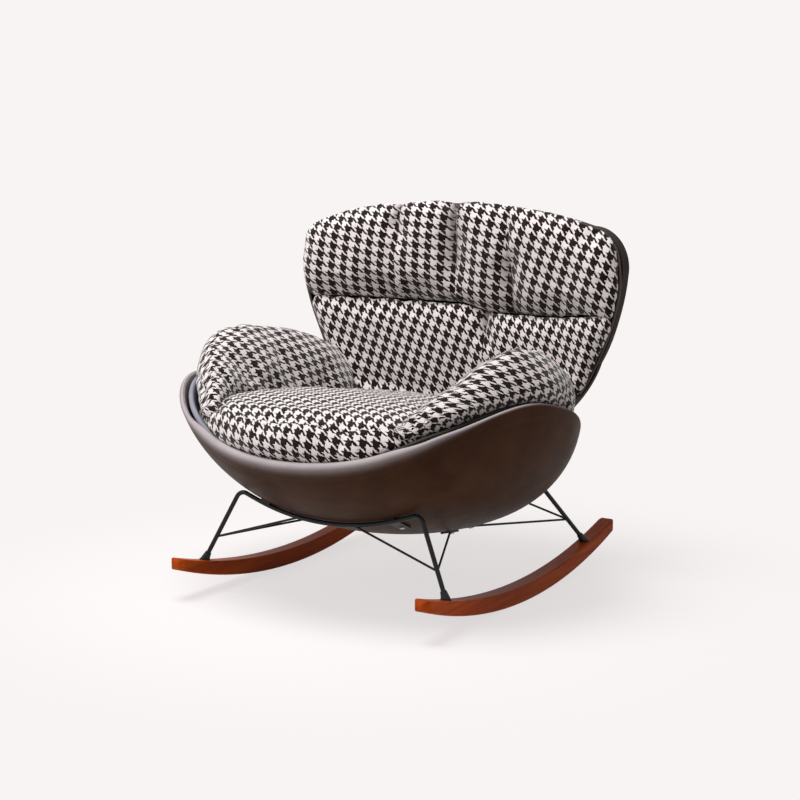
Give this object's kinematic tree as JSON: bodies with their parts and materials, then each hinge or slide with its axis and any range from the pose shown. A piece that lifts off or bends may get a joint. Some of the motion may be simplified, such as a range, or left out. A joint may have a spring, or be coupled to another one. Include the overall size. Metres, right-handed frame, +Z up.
{
  "type": "rocking lounge chair",
  "caption": "Low rocking lounge chair: a leather bowl shell with cushioned seat, arms and dished back on bent steel hoops and wooden rockers.",
  "frame": {"origin": "on the floor, under the middle of the chair's outer box", "axes": "+Z up, the sitter faces -Y, +X is the sitter's left"},
  "size_m": [0.918, 0.9138, 0.8481],
  "materials": {
    "rocker_wood": "satin lacquer",
    "black_steel": "satin black",
    "steel_fasteners": "plain",
    "shell_leather": "smooth, low sheen",
    "tub_leather": "smooth, low sheen",
    "back_leather": "smooth, low sheen",
    "trim_leather": "piped edge",
    "check_fabric": "woven houndstooth check"
  },
  "bodies": {
    "root": {"arm_cushion_left": "check_fabric", "arm_cushion_right": "check_fabric", "back_bolts": "steel_fasteners", "back_brackets": "black_steel", "back_shell": "back_leather", "back_trim": "trim_leather", "foot_bolts": "steel_fasteners", "front_belly_brace_left": "black_steel", "front_belly_brace_right": "black_steel", "front_belly_tab_left": "black_steel", "front_belly_tab_right": "black_steel", "front_brace_left": "black_steel", "front_brace_right": "black_steel", "front_foot_left": "black_steel", "front_foot_right": "black_steel", "front_hoop_tabs": "black_steel", "front_leg_hoop": "black_steel", "head_cushion": "check_fabric", "lumbar_cushion": "check_fabric", "outer_shell": "shell_leather", "rear_belly_brace_left": "black_steel", "rear_belly_brace_right": "black_steel", "rear_belly_tab_left": "black_steel", "rear_belly_tab_right": "black_steel", "rear_brace_left": "black_steel", "rear_brace_right": "black_steel", "rear_foot_left": "black_steel", "rear_foot_right": "black_steel", "rear_hoop_tabs": "black_steel", "rear_leg_hoop": "black_steel", "rocker_left": "rocker_wood", "rocker_right": "rocker_wood", "seat_cushion": "check_fabric", "seat_tub": "tub_leather", "shell_screws": "steel_fasteners"}
  },
  "joints": []
}
